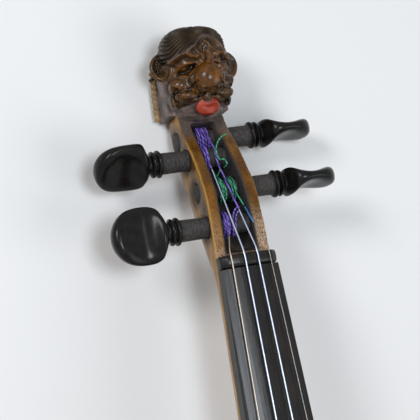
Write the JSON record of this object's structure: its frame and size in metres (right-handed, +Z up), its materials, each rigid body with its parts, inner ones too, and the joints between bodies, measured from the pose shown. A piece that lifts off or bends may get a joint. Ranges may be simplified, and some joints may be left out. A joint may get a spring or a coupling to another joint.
{
  "type": "violin",
  "caption": "Carved-head violin: hollow arched body with f-holes, neck and fingerboard, turning friction pegs with silk windings, strings over a bridge to a tailpiece with a fine tuner.",
  "frame": {"origin": "centre of the footprint, on the plane that the back arch and the head rest on", "axes": "X across the body, + is the treble side; Y along the strings, + towards the head; Z up through the top"},
  "size_m": [0.208, 0.5952, 0.0966],
  "materials": {
    "spruce": "satin",
    "maple": "gloss",
    "bare_wood": "matte",
    "bridge_maple": "satin",
    "ebony": "polished",
    "steel": "polished",
    "steel_string": "polished",
    "gut": "matte",
    "silk": "matte",
    "carving": "gloss"
  },
  "bodies": {
    "violin": {"neck": "maple", "head": "carving", "fingerboard": "ebony", "nut": "ebony", "top_plate": "spruce", "back_plate": "maple", "lower_rib_bass": "maple", "lower_top_lining_bass": "bare_wood", "lower_back_lining_bass": "bare_wood", "waist_rib_bass": "maple", "waist_top_lining_bass": "bare_wood", "waist_back_lining_bass": "bare_wood", "upper_rib_bass": "maple", "upper_top_lining_bass": "bare_wood", "upper_back_lining_bass": "bare_wood", "lower_corner_block_bass": "bare_wood", "upper_corner_block_bass": "bare_wood", "lower_rib_treble": "maple", "lower_top_lining_treble": "bare_wood", "lower_back_lining_treble": "bare_wood", "waist_rib_treble": "maple", "waist_top_lining_treble": "bare_wood", "waist_back_lining_treble": "bare_wood", "upper_rib_treble": "maple", "upper_top_lining_treble": "bare_wood", "upper_back_lining_treble": "bare_wood", "lower_corner_block_treble": "bare_wood", "upper_corner_block_treble": "bare_wood", "lower_block": "bare_wood", "upper_block": "bare_wood", "bass_bar": "bare_wood", "sound_post": "bare_wood", "bridge": "bridge_maple", "tailpiece": "ebony", "tailgut": "gut", "saddle": "ebony", "end_button": "ebony", "fine_tuner_body": "steel", "fine_tuner_nut": "steel", "g_string": "steel_string", "d_string": "steel_string", "a_string": "steel_string", "e_string": "steel_string"},
    "g_peg": {"g_peg": "ebony", "g_peg_winding": "silk"},
    "d_peg": {"d_peg": "ebony", "d_peg_winding": "silk"},
    "a_peg": {"a_peg": "ebony", "a_peg_winding": "silk"},
    "e_peg": {"e_peg": "ebony", "e_peg_winding": "silk", "e_peg_winding_end": "silk"},
    "tuner_screw": {"fine_tuner_screw": "steel"},
    "tuner_lever": {"fine_tuner_lever": "steel"}
  },
  "joints": [
    {"name": "g_peg_turn", "type": "hinge", "parent": "violin", "child": "g_peg", "pos_m": [0, 0.21407, 0.03511], "axis": [-1, 0, 0], "continuous": true},
    {"name": "d_peg_turn", "type": "hinge", "parent": "violin", "child": "d_peg", "pos_m": [0, 0.24259, 0.0219], "axis": [-1, 0, 0], "continuous": true},
    {"name": "a_peg_turn", "type": "hinge", "parent": "violin", "child": "a_peg", "pos_m": [0, 0.25101, 0.01242], "axis": [1, 0, 0], "continuous": true},
    {"name": "e_peg_turn", "type": "hinge", "parent": "violin", "child": "e_peg", "pos_m": [0, 0.22843, 0.02849], "axis": [1, 0, 0], "continuous": true},
    {"name": "tuner_screw_turn", "type": "hinge", "parent": "violin", "child": "tuner_screw", "pos_m": [0.01068, -0.19312, 0.08183], "axis": [0, 0, 1], "range_deg": [-675, 0]},
    {"name": "tuner_lever_tilt", "type": "hinge", "parent": "violin", "child": "tuner_lever", "pos_m": [0.01068, -0.18362, 0.08183], "axis": [1, 0, 0], "range_deg": [0, 4.5]}
  ],
  "couplings": [
    {"joint": "tuner_lever_tilt", "follows": "tuner_screw_turn", "ratio": -0.0066667}
  ]
}
